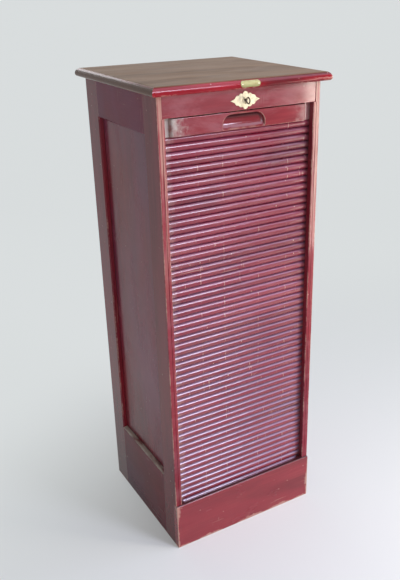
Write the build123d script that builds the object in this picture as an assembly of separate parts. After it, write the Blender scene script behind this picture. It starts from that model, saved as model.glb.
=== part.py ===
"""Tambour-front filing cabinet.

A tall, narrow case of frame-and-panel sides, closed in front by a slatted shutter. The shutter is glued
to canvas and runs in grooves in the sides: down the front, round a bend behind the plinth, under the
bottom board and up behind a false back. Its lead rail has a finger pull and locks under the top.

X runs to the right, Y to the back and Z up. The origin is on the floor, under the middle of the top.
"""
import os
from math import acos, cos, floor, pi, radians, sin

from build123d import *

# Case, in millimetres
body_width = 400.0
body_depth = 372.0
body_height = 1115.0
side_thickness = 17.0

# Top board
top_thickness = 19.0
top_overhang_side = 17.0
top_overhang_front = 20.5
top_overhang_rear = 20.5
top_round = 12.4
nose_round = 6.4

# Side frames
front_stile_width = 63.5
rear_stile_width = 64.0
side_top_rail_height = 85.5
side_bottom_rail_rise = 60.0
panel_thickness = 6.0
panel_lap = 8.0
panel_bevel = 3.0
tenon_length = 28.0
tenon_inset = 16.0
tenon_cheek = 3.0
bead_width = 7.0
bead_quirk = 1.2
bead_round = 2.5
arris_round = 1.2

# Plinth
plinth_height = 126.0
plinth_thickness = 18.0
plinth_proud = 5.0
plinth_round = 4.0
plinth_bevel_drop = 6.0
plinth_bevel_width = 9.0
plinth_bevel_stop = 9.0
plinth_block_width = 36.0
plinth_block_depth = 20.0

# Slatted shutter and the grooves that it runs in
curtain_setback = 14.5
slat_pitch = 16.2
slat_gap = 0.5
slat_thickness = 11.0
slat_edge = 4.0
slat_end_play = 1.0
canvas_thickness = 1.0
canvas_margin = 14.0
curtain_tail = 20.0
curtain_play = 0.5
groove_depth = 6.5
groove_floor = 30.0
groove_spare = 30.0
bend_radius = 60.0

# Lock rail and lead rail
lock_rail_height = 45.5
lock_rail_thickness = 13.0
lock_rail_setback = 1.0
lock_rail_housing = 6.0
shut_gap = 2.5
open_gap = 2.0
lead_rail_height = 37.0
lead_rail_setback = 5.0
lead_rail_thickness = 23.5
lead_rail_cutback = 15.0
lead_rail_round = 1.5
lead_end_round = 8.0

# Finger pull; it, the keyhole and the plates stand a little to the right of the middle
fitting_offset = 5.0
pull_width = 105.0
pull_height = 30.0
pull_depth = 8.5
pull_head = 12.0
pull_side = 9.0
pull_foot_slope = 50.0
pull_rim = 0.8
pull_foot = 2.5
pull_head_corner = 0.75
pull_foot_corner = 0.1
pull_steps = 6

# Inside
bottom_thickness = 12.0
inside_gap = 4.0
shelf_count = 5
shelf_thickness = 10.0
shelf_round = 3.0
cleat_height = 14.0
cleat_thickness = 12.0
false_back_thickness = 6.0
corner_block_size = 42.0
corner_block_height = 20.0

# Back
back_thickness = 14.0
back_gap = 6.0
back_rebate = 8.0
back_panel_thickness = 6.0
back_top_rail_height = 70.0
back_mid_rail_height = 60.0
back_bottom_rail_height = 120.0

# Lock, bolt and key
lock_axis_rise = 20.3
lock_width = 56.0
lock_height = 33.0
lock_depth = 13.5
lock_wall = 1.5
lock_flange = 10.0
bolt_width = 22.0
bolt_thickness = 4.8
bolt_height = 23.0
bolt_throw = 8.0
bolt_play = 0.4
strike_overlap = 11.0
strike_margin = 2.0
strike_thickness = 1.5
key_shank_radius = 2.5
key_bow_radius = 6.2
key_bow_wire = 1.5
key_reach = 19.5
key_bit_drop = 5.5
key_bit_thickness = 2.0
key_bit_length = 3.6
key_play = 0.3

# Brass plates
escutcheon_width = 72.0
escutcheon_height = 37.0
escutcheon_thickness = 1.6
escutcheon_rim_radius = 7.0
escutcheon_rim_height = 0.8
label_width = 47.0
label_thickness = 0.8
label_turn_up = 48.0
label_turn_down = 25.0
label_pin_turn = 12.0
label_lift = 0.05
label_clip = 4.0

# Screws and pins
screw_radius = 1.75
screw_head_radius = 3.6
screw_head_height = 1.8
screw_slot = 0.8
screw_bite = 9.0
pin_radius = 0.6
pin_head_radius = 1.3
pin_head_height = 0.7
pin_length = 7.0
pin_edge = 4.0
hole_play = 0.1
wood_play = 0.2

# Planes worked out from the sizes above: the case
top_width = body_width + 2 * top_overhang_side
top_depth = top_overhang_front + body_depth + top_overhang_rear
top_front = -top_depth / 2
top_surface = body_height + top_thickness
front_y = top_front + top_overhang_front
back_y = front_y + body_depth
outer_x = body_width / 2
inner_x = outer_x - side_thickness
panel_front = front_y + front_stile_width
panel_back = back_y - rear_stile_width
panel_bottom = plinth_height + side_bottom_rail_rise
panel_top = body_height - side_top_rail_height
tenon_x = (inner_x + max(groove_depth, panel_thickness) + wood_play, outer_x - tenon_cheek)
plinth_front = front_y - plinth_proud
plinth_back = plinth_front + plinth_thickness

# Planes of the shutter
curtain_front = front_y + curtain_setback
slat_back = curtain_front + slat_thickness
curtain_back = slat_back + canvas_thickness
groove_width = slat_thickness + canvas_thickness + 2 * curtain_play
groove_front = curtain_front - curtain_play
groove_back = groove_front + groove_width
rear_groove_back = back_y - back_thickness - back_gap
rear_groove_front = rear_groove_back - groove_width
lock_rail_front = front_y + lock_rail_setback
lock_rail_back = lock_rail_front + lock_rail_thickness
lock_rail_bottom = body_height - lock_rail_height
lead_top = lock_rail_bottom - shut_gap
lead_bottom = lead_top - lead_rail_height
lead_front = front_y + lead_rail_setback
lead_back = lead_front + lead_rail_thickness
lead_half = inner_x - lead_rail_cutback
lead_travel = lead_bottom - plinth_height - open_gap
slat_count = floor((lead_bottom - plinth_height + curtain_tail) / slat_pitch)
curtain_bottom = lead_bottom - slat_count * slat_pitch
groove_end = inner_x + groove_depth

# The groove up the back is as long as the open shutter needs
bend_z = groove_floor + groove_width / 2 + bend_radius
bottom_run = rear_groove_front - groove_front - 2 * bend_radius
rear_rise = lead_travel - (curtain_bottom - bend_z) - pi * bend_radius - bottom_run
rear_groove_top = bend_z + rear_rise + groove_spare

# Planes inside
inside_front = lead_back + inside_gap
false_back_back = rear_groove_front - inside_gap / 2
false_back_front = false_back_back - false_back_thickness
shelf_step = (body_height - plinth_height + shelf_thickness) / (shelf_count + 1)
shelf_tops = [plinth_height + shelf_step * (i + 1) for i in range(shelf_count)]
back_panel_y = (back_y - back_thickness, back_y - back_thickness + back_panel_thickness)
back_mid_z = (body_height - back_top_rail_height + back_bottom_rail_height) / 2

# Planes of the lock
lock_axis_z = lock_rail_bottom + lock_axis_rise
lock_y = (lock_rail_back, lock_rail_back + lock_depth)
lock_z = (lock_rail_bottom + lock_wall, lock_rail_bottom + lock_wall + lock_height)
bolt_back = lock_y[1] - lock_wall - bolt_play
bolt_y = (bolt_back - bolt_thickness, bolt_back)
bolt_tip = lock_z[0] + bolt_play
key_bit_y = lock_y[0] + lock_wall + key_play


def block(x, y, z):
    """A box between a low and a high limit on each axis."""
    size = [high - low for low, high in (x, y, z)]
    middle = [(low + high) / 2 for low, high in (x, y, z)]
    return Pos(*middle) * Box(*size)


def across(half, y, z, middle=0.0):
    """A box that reaches as far to the left of its middle as to the right."""
    return block((middle - half, middle + half), y, z)


def mirrored(shape):
    """The same piece on the left of the cabinet."""
    return mirror(shape, about=Plane.YZ)


def rod(start, direction, radius, length):
    """A round bar from a point, along a direction."""
    return extrude(Plane(origin=start, z_dir=direction) * Circle(radius), length)


def screw(seat, direction, length):
    """A slotted screw: its head stands on the seat and its shank goes along the direction."""
    head = Pos(0, 0, -screw_head_height / 2) * Cylinder(screw_head_radius, screw_head_height)
    head = chamfer(head.edges().group_by(Axis.Z)[0], screw_head_height / 2)
    slot = Pos(0, 0, -screw_head_height) * Box(3 * screw_head_radius, screw_slot, screw_head_height)
    shank = Pos(0, 0, length / 2) * Cylinder(screw_radius, length)
    return Plane(origin=seat, z_dir=direction) * (head - slot + shank)


def screw_hole(seat, direction, length):
    """The hole that one screw goes into."""
    return rod(seat, direction, screw_radius + hole_play, length + hole_play)


def pin(seat, direction):
    """A brass pin: its head stands on the seat and its shank goes along the direction."""
    head = Pos(0, 0, -pin_head_height / 2) * Cylinder(pin_head_radius, pin_head_height)
    head = chamfer(head.edges().group_by(Axis.Z)[0], pin_head_height / 2)
    shank = Pos(0, 0, pin_length / 2) * Cylinder(pin_radius, pin_length)
    return Plane(origin=seat, z_dir=direction) * (head + shank)


def pin_hole(seat, direction):
    """The hole that one pin goes into."""
    return rod(seat, direction, pin_radius + hole_play, pin_length + hole_play)


def group(shapes):
    """Like pieces that share one node."""
    return Compound(children=[solid for shape in shapes for solid in shape.solids()])


# Where the screws and pins go: a seat and a direction for each
corner_block_y = (
    (inside_front, inside_front + corner_block_size),
    (false_back_front - corner_block_size, false_back_front),
)
corner_block_bottom = body_height - corner_block_height
corner_screws = [
    ((side * (inner_x - corner_block_size / 2), sum(y) / 2, corner_block_bottom), (0, 0, 1))
    for side in (-1, 1)
    for y in corner_block_y
]
corner_screw_length = corner_block_height + top_thickness / 2

cleat_tops = [top - shelf_thickness for top in shelf_tops]
bottom_cleat_top = plinth_height - bottom_thickness
shelf_screw_y = (
    (groove_back + panel_front - panel_lap) / 2,
    (panel_back + panel_lap + false_back_front) / 2,
)
bottom_screw_y = (panel_front + tenon_length, panel_back - tenon_length)
cleat_screw_places = [(y, top) for top in cleat_tops for y in shelf_screw_y]
cleat_screw_places += [(y, bottom_cleat_top) for y in bottom_screw_y]
cleat_screws = [
    ((side * (inner_x - cleat_thickness), y, top - cleat_height / 2), (side, 0, 0))
    for side in (-1, 1)
    for y, top in cleat_screw_places
]
cleat_screw_length = cleat_thickness + screw_bite

back_rail_z = (
    (0.0, back_bottom_rail_height),
    (back_mid_z - back_mid_rail_height / 2, back_mid_z + back_mid_rail_height / 2),
    (body_height - back_top_rail_height, body_height),
)
back_screws = [
    ((side * (inner_x + back_rebate / 2), back_y, low + (high - low) * share), (0, -1, 0))
    for side in (-1, 1)
    for low, high in back_rail_z
    for share in (0.25, 0.75)
]
back_screw_length = back_thickness + back_gap / 2

lock_screw_x = lock_width / 2 + lock_flange / 2
lock_screws = [
    ((fitting_offset + side * lock_screw_x, lock_y[0] + lock_wall, z), (0, -1, 0))
    for side in (-1, 1)
    for z in (lock_z[0] + lock_flange / 2, lock_z[1] - lock_flange / 2)
]
lock_screw_length = lock_wall + screw_bite

escutcheon_face = lock_rail_front - escutcheon_thickness
escutcheon_pin_x = escutcheon_width / 2 - 2 * pin_edge
escutcheon_pins = [
    ((fitting_offset + side * escutcheon_pin_x, escutcheon_face, lock_axis_z), (0, 1, 0))
    for side in (-1, 1)
]
strike_pins = [
    ((fitting_offset + side * (bolt_width + strike_overlap) / 2, sum(bolt_y) / 2, lead_top), (0, 0, -1))
    for side in (-1, 1)
]

# The label is bent round the front edge of the top, over both of its rounds
lower_round_z = body_height + nose_round
upper_round_z = top_surface - top_round
label_pin_x = label_width / 2 - pin_edge
label_pin_reach = top_round + label_lift + label_thickness
label_pin_in = (0, cos(radians(label_pin_turn)), -sin(radians(label_pin_turn)))
label_pin_y = top_front + top_round - label_pin_reach * label_pin_in[1]
label_pin_z = upper_round_z - label_pin_reach * label_pin_in[2]
label_pins = [
    ((fitting_offset + side * label_pin_x, label_pin_y, label_pin_z), label_pin_in) for side in (-1, 1)
]


def top_section(half):
    """The top's outline on one of its two ways: a large round above and a small one below."""
    outline = Pos(0, body_height + top_thickness / 2) * Rectangle(2 * half, top_thickness)
    outline = fillet(outline.vertices().group_by(Axis.Y)[0], nose_round)
    return fillet(outline.vertices().group_by(Axis.Y)[-1], top_round)


def top_board():
    """The top, with its rounded edge mitred at the corners."""
    lengthwise = extrude(Plane.YZ * top_section(top_depth / 2), top_width / 2, both=True)
    crosswise = extrude(Plane.XZ * top_section(top_width / 2), top_depth / 2, both=True)
    board = lengthwise & crosswise
    for seat, direction in corner_screws:
        board -= screw_hole(seat, direction, corner_screw_length)
    for seat, direction in label_pins:
        board -= pin_hole(seat, direction)
    return board


def shutter_groove():
    """What is routed out of the right side: a long U, higher in front than at the back."""
    height = body_height + 2 * bend_radius
    middle = ((groove_front + rear_groove_back) / 2, groove_floor + height / 2)
    depth = rear_groove_back - groove_front
    face = Plane.YZ.offset(inner_x)
    around = Pos(*middle) * RectangleRounded(depth, height, bend_radius + groove_width / 2)
    within = Pos(*middle) * RectangleRounded(
        depth - 2 * groove_width, height - 2 * groove_width, bend_radius - groove_width / 2
    )
    ring = extrude(face * (around - within), groove_depth)
    rear_half = (middle[0], back_y)
    return ring - block((inner_x, outer_x), rear_half, (rear_groove_top, 2 * height))


def panel_rebate():
    """The rebate round the inside of a side frame, which the panel drops into."""
    return block(
        (inner_x, inner_x + panel_thickness),
        (panel_front - panel_lap, panel_back + panel_lap),
        (panel_bottom - panel_lap, panel_top + panel_lap),
    )


def panel_bevel_cut():
    """The bevel round the outside of a side frame's opening."""
    depth = panel_back - panel_front
    height = panel_top - panel_bottom
    middle = Pos((panel_front + panel_back) / 2, (panel_bottom + panel_top) / 2)
    wide = Plane.YZ.offset(outer_x) * middle * Rectangle(depth + 2 * panel_bevel, height + 2 * panel_bevel)
    narrow = Plane.YZ.offset(outer_x - panel_bevel) * middle * Rectangle(depth, height)
    return loft([narrow, wide], ruled=True)


def tenons(z, play=0.0):
    """The two tenons of a side rail, or with play their mortises."""
    high_low = (z[0] + tenon_inset - play, z[1] - tenon_inset + play)
    thick = (tenon_x[0] - play, tenon_x[1] + play)
    reach = tenon_length + play
    front = block(thick, (panel_front - reach, panel_front), high_low)
    back = block(thick, (panel_back, panel_back + reach), high_low)
    return front + back


side_top_z = (panel_top, body_height)
side_bottom_z = (0.0, panel_bottom)


def side_cuts():
    """Everything that is cut out of the four pieces of the right side's frame alike."""
    return [shutter_groove(), panel_rebate(), panel_bevel_cut()]


def side_holes(stile):
    """A stile or bottom rail of the right side with the holes for the cleats' screws."""
    for seat, direction in cleat_screws:
        if seat[0] > 0:
            stile -= screw_hole(seat, direction, cleat_screw_length)
    return stile


def front_stile():
    """The right front stile, with a bead down its inner edge, notched at its foot for the plinth."""
    stile = block((inner_x, outer_x), (front_y, panel_front), (0, body_height))
    stile = fillet(stile.edges().filter_by(Axis.Z).group_by(Axis.Y)[0].sort_by(Axis.X)[0], bead_round)
    stile = fillet(stile.edges().filter_by(Axis.Z).group_by(Axis.X)[-1].sort_by(Axis.Y)[0], arris_round)
    quirk_x = inner_x + bead_width
    stile -= block(
        (quirk_x, quirk_x + bead_quirk), (front_y, front_y + bead_quirk), (plinth_height, lock_rail_bottom)
    )
    stile -= block((inner_x, outer_x), (front_y, plinth_back), (0, plinth_height))
    stile -= block(
        (inner_x, inner_x + lock_rail_housing), (front_y, lock_rail_back), (lock_rail_bottom, body_height)
    )
    for cut in side_cuts():
        stile -= cut
    stile -= tenons(side_top_z, wood_play)
    stile -= tenons(side_bottom_z, wood_play)
    return side_holes(stile)


def rear_stile():
    """The right rear stile, rebated for the back."""
    stile = block((inner_x, outer_x), (panel_back, back_y), (0, body_height))
    stile = fillet(stile.edges().filter_by(Axis.Z).group_by(Axis.X)[-1].sort_by(Axis.Y)[-1], arris_round)
    stile -= block((inner_x, inner_x + back_rebate), (back_panel_y[0], back_y), (0, body_height))
    for cut in side_cuts():
        stile -= cut
    stile -= tenons(side_top_z, wood_play)
    stile -= tenons(side_bottom_z, wood_play)
    for seat, direction in back_screws:
        if seat[0] > 0:
            stile -= screw_hole(seat, direction, back_screw_length)
    return side_holes(stile)


def side_rail(z):
    """A rail between the right side's stiles, with its tenons."""
    rail = block((inner_x, outer_x), (panel_front, panel_back), z)
    for cut in side_cuts():
        rail -= cut
    return side_holes(rail + tenons(z))


def side_panel():
    """The thin panel of the right side, flush inside and deep set outside."""
    lap = panel_lap - wood_play
    return block(
        (inner_x, inner_x + panel_thickness),
        (panel_front - lap, panel_back + lap),
        (panel_bottom - lap, panel_top + lap),
    )


def keyhole(y):
    """A keyhole through the stretch between two planes: a round hole with a slot under it."""
    hole = rod((fitting_offset, y[0], lock_axis_z), (0, 1, 0), key_shank_radius + key_play, y[1] - y[0])
    foot = lock_axis_z - key_shank_radius - key_bit_drop - key_play
    slot = across(key_bit_thickness / 2 + key_play, y, (foot, lock_axis_z), fitting_offset)
    return hole + slot


def lock_rail():
    """The fixed rail under the top, let into the stiles. The lock is on its back."""
    half = inner_x + lock_rail_housing - wood_play
    rail = across(half, (lock_rail_front, lock_rail_back), (lock_rail_bottom, body_height))
    face = rail.faces().sort_by(Axis.Y)[0]
    rail = fillet(face.edges().sort_by(Axis.Z)[:-1], arris_round)
    rail -= keyhole((lock_rail_front, lock_rail_back))
    for seat, direction in lock_screws:
        rail -= screw_hole(seat, direction, lock_screw_length)
    for seat, direction in escutcheon_pins:
        rail -= pin_hole(seat, direction)
    return rail


def plinth_board():
    """The front board at the floor, a little proud of the stiles, hollowed behind for the shutter."""
    outline = Pos((plinth_front + plinth_back) / 2, plinth_height / 2)
    outline = outline * Rectangle(plinth_thickness, plinth_height)
    front_high = outline.vertices().group_by(Axis.Y)[-1].sort_by(Axis.X)[0]
    outline = fillet(front_high, plinth_round)
    front_low = outline.vertices().group_by(Axis.Y)[0].sort_by(Axis.X)[0]
    outline = fillet(front_low, arris_round)
    board = extrude(Plane.YZ * outline, outer_x, both=True)
    for face in (board.faces().sort_by(Axis.X)[0], board.faces().sort_by(Axis.X)[-1]):
        front = [edge for edge in face.edges() if edge.center().Y < (plinth_front + plinth_back) / 2]
        board = fillet(front, arris_round)
    with BuildSketch(Plane.YZ) as bevel:
        with BuildLine():
            Polyline(
                (plinth_back, plinth_height),
                (plinth_back, plinth_height - plinth_bevel_drop),
                (plinth_back - plinth_bevel_width, plinth_height),
                close=True,
            )
        make_face()
    return board - extrude(bevel.sketch, inner_x - plinth_bevel_stop, both=True)


def plinth_blocks():
    """Three glue blocks in the corner behind the plinth, clear of the shutter's bend."""
    y = (plinth_back, plinth_back + plinth_block_depth)
    z = (0.0, 2 * plinth_block_depth)
    places = (plinth_block_width / 2 - inner_x, 0.0, inner_x - plinth_block_width / 2)
    return group([across(plinth_block_width / 2, y, z, middle) for middle in places])


def bottom_board():
    """The floor of the inside, over the shutter's way to the back."""
    return across(
        inner_x - wood_play,
        (inside_front, false_back_front),
        (plinth_height - bottom_thickness, plinth_height),
    )


def shelf(top):
    """A fixed shelf, rounded at its front edge."""
    board = across(
        inner_x - wood_play, (inside_front, false_back_front), (top - shelf_thickness, top)
    )
    return fillet(board.edges().filter_by(Axis.X).group_by(Axis.Y)[0], shelf_round)


def cleat(side, top):
    """A strip on a side that carries one end of a shelf."""
    near, far = sorted((side * (inner_x - cleat_thickness), side * inner_x))
    strip = block((near, far), (inside_front, false_back_front), (top - cleat_height, top))
    for seat, direction in cleat_screws:
        if seat[0] * side > 0 and top - cleat_height < seat[2] < top:
            strip -= screw_hole(seat, direction, cleat_screw_length)
    return strip


def false_back():
    """The thin board between the inside and the shutter's way up the back."""
    low = plinth_height - bottom_thickness
    return across(inner_x - wood_play, (false_back_front, false_back_back), (low, body_height))


def corner_blocks():
    """Four blocks under the top that hold it to the sides."""
    blocks = []
    for seat, direction in corner_screws:
        shape = block(
            (seat[0] - corner_block_size / 2, seat[0] + corner_block_size / 2),
            (seat[1] - corner_block_size / 2, seat[1] + corner_block_size / 2),
            (corner_block_bottom, body_height),
        )
        blocks.append(shape - screw_hole(seat, direction, corner_screw_length))
    return group(blocks)


back_opening_z = (
    (back_rail_z[0][1], back_rail_z[1][0]),
    (back_rail_z[1][1], back_rail_z[2][0]),
)
back_half = inner_x + back_rebate - wood_play


def back_rail(z):
    """A rail of the back, let into the rear stiles and rebated inside for the panels."""
    rail = across(back_half, (back_panel_y[0], back_y), z)
    for low, high in back_opening_z:
        rail -= across(back_half, back_panel_y, (low - panel_lap, high + panel_lap))
    for seat, direction in back_screws:
        rail -= screw_hole(seat, direction, back_screw_length)
    return rail


def back_panel(opening):
    """A thin panel of the back, behind the rails that frame it."""
    low, high = opening
    lap = panel_lap - wood_play
    return across(back_half, back_panel_y, (low - lap, high + lap))


def slats():
    """The shutter's half-round slats, from under the lead rail down behind the plinth."""
    half = (slat_pitch - slat_gap) / 2
    shoulder = slat_back - slat_edge
    with BuildSketch(Plane.YZ) as section:
        with BuildLine():
            Polyline((shoulder, half), (slat_back, half), (slat_back, -half), (shoulder, -half))
            ThreePointArc((shoulder, -half), (curtain_front, 0), (shoulder, half))
        make_face()
    slat = extrude(section.sketch, groove_end - slat_end_play, both=True)
    return group([Pos(0, 0, lead_bottom - slat_pitch * (i + 0.5)) * slat for i in range(slat_count)])


def canvas():
    """The cloth that the slats are glued to."""
    return across(inner_x - canvas_margin, (slat_back, curtain_back), (curtain_bottom, lead_bottom))


def pull_outline(depth, foot, head, side):
    """The finger pull's outline at one depth, drawn in at its foot, head and sides."""
    height = pull_height - foot - head
    middle = (fitting_offset, lead_front + depth, lead_bottom + pull_foot + foot + height / 2)
    plane = Plane(origin=middle, x_dir=(-1, 0, 0), z_dir=(0, 1, 0))
    outline = Rectangle(pull_width - 2 * side, height)
    outline = fillet(outline.vertices().group_by(Axis.Y)[0], pull_foot_corner * height)
    outline = fillet(outline.vertices().group_by(Axis.Y)[-1], pull_head_corner * height)
    return plane * outline


def finger_pull():
    """The hollow that the fingers go into: an eased rim, steep under the head, sloping out to the foot."""
    slope = radians(pull_foot_slope)
    radius = (pull_depth - pull_rim) / (1 - cos(slope))
    rings = []
    for step in range(pull_steps + 1):
        turn = pi / 2 * step / pull_steps
        depth = (pull_depth - pull_rim) * sin(turn)
        foot = radius * (sin(slope) - sin(acos(min(1.0, depth / radius + cos(slope)))))
        draw = 1 - cos(turn)
        rings.append(pull_outline(pull_rim + depth, foot, pull_head * draw, pull_side * draw))
    rim = loft([pull_outline(0.0, -pull_rim, -pull_rim, -pull_rim), rings[0]], ruled=True)
    return rim + loft(rings)


def bolt_way(z):
    """The slot that the bolt goes through, between two levels."""
    y = (bolt_y[0] - bolt_play, bolt_y[1] + bolt_play)
    return across(bolt_width / 2 + bolt_play, y, z, fitting_offset)


def strike_blank(play):
    """The strike plate before it is pierced, or with play its bed in the lead rail."""
    y = (bolt_y[0] - strike_margin - play, bolt_y[1] + strike_margin + play)
    half = bolt_width / 2 + strike_overlap + play
    return across(half, y, (lead_top - strike_thickness, lead_top), fitting_offset)


def lead_rail():
    """The thick rail at the shutter's head, with tongues that run in the grooves and a finger pull."""
    z = (lead_bottom, lead_top)
    rail = across(lead_half, (lead_front, lead_back), z)
    ends = rail.edges().filter_by(Axis.Z).group_by(Axis.Y)[0]
    rail = fillet(ends, lead_end_round)
    rail = fillet(rail.faces().sort_by(Axis.Y)[0].edges().filter_by(Axis.X), lead_rail_round)
    rail += across(groove_end - slat_end_play, (curtain_front, slat_back), z)
    rail -= finger_pull()
    rail -= strike_blank(wood_play)
    rail -= bolt_way((bolt_tip - bolt_throw - open_gap, lead_top))
    for seat, direction in strike_pins:
        rail -= pin_hole(seat, direction)
    return rail


def strike_plate():
    """The brass plate in the lead rail's upper edge that the bolt goes through."""
    plate = strike_blank(0.0) - bolt_way((lead_bottom, lead_top))
    for seat, direction in strike_pins:
        plate -= pin_hole(seat, direction)
    return plate


def lock_case():
    """The lock's case: a flanged front plate and a hollow box with a slot for the bolt in its floor."""
    half = lock_width / 2
    case = across(half, lock_y, lock_z, fitting_offset)
    case += across(half + lock_flange, (lock_y[0], lock_y[0] + lock_wall), lock_z, fitting_offset)
    room_y = (lock_y[0] + lock_wall, lock_y[1] - lock_wall)
    room_z = (lock_z[0] + lock_wall, lock_z[1] - lock_wall)
    case -= across(half - lock_wall, room_y, room_z, fitting_offset)
    case -= keyhole((lock_y[0], lock_y[0] + lock_wall))
    case -= bolt_way((lock_z[0], room_z[0]))
    for seat, direction in lock_screws:
        case -= screw_hole(seat, direction, lock_screw_length)
    return case


def lock_bolt():
    """The bolt, drawn up into the lock."""
    return across(bolt_width / 2, bolt_y, (bolt_tip, bolt_tip + bolt_height), fitting_offset)


def key():
    """The key: a ring bow, a round shank and a bit that points down while the lock is open."""
    tip = lock_rail_front - key_reach
    bow_y = tip + key_bow_radius + key_bow_wire
    bow = Pos(fitting_offset, bow_y, lock_axis_z) * Rot(0, 90, 0) * Torus(key_bow_radius, key_bow_wire)
    shank_start = bow_y + key_bow_radius
    shank_end = key_bit_y + key_bit_length
    shank = rod(
        (fitting_offset, shank_start, lock_axis_z), (0, 1, 0), key_shank_radius, shank_end - shank_start
    )
    foot = lock_axis_z - key_shank_radius - key_bit_drop
    bit = across(key_bit_thickness / 2, (key_bit_y, shank_end), (foot, lock_axis_z), fitting_offset)
    return bow + shank + bit


def escutcheon_outline():
    """The plate's outline: lobes along its upper and lower edges and a point at each end."""
    half_width, half_height = escutcheon_width / 2, escutcheon_height / 2
    lobes = (
        ((0.0, 1.0), (0.13, 0.86), (0.17, 0.64)),
        ((0.17, 0.64), (0.33, 0.74), (0.45, 0.52)),
        ((0.45, 0.52), (0.61, 0.50), (0.70, 0.27)),
        ((0.70, 0.27), (0.83, 0.13), (1.0, 0.0)),
    )
    arcs = []
    for x_side in (-1, 1):
        for z_side in (-1, 1):
            for lobe in lobes:
                points = [(x_side * x * half_width, z_side * z * half_height) for x, z in lobe]
                arcs.append(ThreePointArc(*points))
    return make_face(arcs)


def escutcheon():
    """The brass keyhole plate, with a raised rim round the keyhole."""
    face = Plane(origin=(fitting_offset, lock_rail_front, lock_axis_z), x_dir=(1, 0, 0), z_dir=(0, -1, 0))
    plate = extrude(face * escutcheon_outline(), escutcheon_thickness)
    height = escutcheon_thickness + escutcheon_rim_height
    plate += extrude(face * Circle(escutcheon_rim_radius), height)
    plate -= keyhole((lock_rail_front - height, lock_rail_front))
    for seat, direction in escutcheon_pins:
        plate -= pin_hole(seat, direction)
    return plate


def label_arc(radius, level, height, turn):
    """Three places of the label's section, from the nose to a turn, at a height over one of the rounds."""
    reach = radius + height
    turns = (0.0, radians(turn) / 2, radians(turn))
    return [(top_front + radius - reach * cos(turn), level + reach * sin(turn)) for turn in turns]


def label_plate():
    """A bare brass plate on the front edge of the top, with clipped corners."""
    skins = []
    for height in (label_lift, label_lift + label_thickness):
        below = label_arc(nose_round, lower_round_z, height, -label_turn_down)
        above = label_arc(top_round, upper_round_z, height, label_turn_up)
        skins.append((below, above))
    with BuildSketch(Plane.YZ.offset(fitting_offset)) as section:
        with BuildLine():
            for below, above in skins:
                ThreePointArc(*below)
                Line(below[0], above[0])
                ThreePointArc(*above)
            for inner, outer in zip(*skins):
                Line(inner[2], outer[2])
        make_face()
    plate = extrude(section.sketch, label_width / 2, both=True)
    foot, head = skins[1][0][2][1], skins[1][1][2][1]
    height = head - foot
    middle = (fitting_offset, top_front, foot + height / 2)
    outline = chamfer(Rectangle(label_width, height).vertices(), label_clip)
    outline = Plane(origin=middle, x_dir=(1, 0, 0), z_dir=(0, -1, 0)) * outline
    plate = plate & extrude(outline, top_round, both=True)
    for seat, direction in label_pins:
        plate -= pin_hole(seat, direction)
    return plate


parts = {
    "top_board": top_board(),
    "right_front_stile": front_stile(),
    "right_rear_stile": rear_stile(),
    "right_top_rail": side_rail(side_top_z),
    "right_bottom_rail": side_rail(side_bottom_z),
    "right_panel": side_panel(),
    "lock_rail": lock_rail(),
    "plinth_board": plinth_board(),
    "plinth_blocks": plinth_blocks(),
    "bottom_board": bottom_board(),
    "false_back": false_back(),
    "bottom_cleats": group([cleat(side, bottom_cleat_top) for side in (-1, 1)]),
    "shelf_cleats": group([cleat(side, top) for side in (-1, 1) for top in cleat_tops]),
    "cleat_screws": group([screw(*place, cleat_screw_length) for place in cleat_screws]),
    "corner_blocks": corner_blocks(),
    "corner_block_screws": group([screw(*place, corner_screw_length) for place in corner_screws]),
    "back_bottom_rail": back_rail(back_rail_z[0]),
    "back_mid_rail": back_rail(back_rail_z[1]),
    "back_top_rail": back_rail(back_rail_z[2]),
    "back_lower_panel": back_panel(back_opening_z[0]),
    "back_upper_panel": back_panel(back_opening_z[1]),
    "back_screws": group([screw(*place, back_screw_length) for place in back_screws]),
    "lead_rail": lead_rail(),
    "strike_plate": strike_plate(),
    "strike_pins": group([pin(*place) for place in strike_pins]),
    "tambour_slats": slats(),
    "canvas_backing": canvas(),
    "lock_case": lock_case(),
    "lock_screws": group([screw(*place, lock_screw_length) for place in lock_screws]),
    "lock_bolt": lock_bolt(),
    "key": key(),
    "escutcheon": escutcheon(),
    "escutcheon_pins": group([pin(*place) for place in escutcheon_pins]),
    "label_plate": label_plate(),
    "label_pins": group([pin(*place) for place in label_pins]),
}
for name in [name for name in parts if name.startswith("right_")]:
    parts[name.replace("right_", "left_")] = mirrored(parts[name])
for number, top in enumerate(shelf_tops, 1):
    parts[f"shelf_{number}"] = shelf(top)

os.makedirs("parts", exist_ok=True)
for name, shape in parts.items():
    export_step(shape, f"parts/{name}.step")
print(f"{len(parts)} nodes, {slat_count} slats, shutter travel {lead_travel:.1f} mm")
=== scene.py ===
"""Dresses the tambour filing cabinet: varnished mahogany, slats on canvas, brass, steel and a plain stage."""

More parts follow.
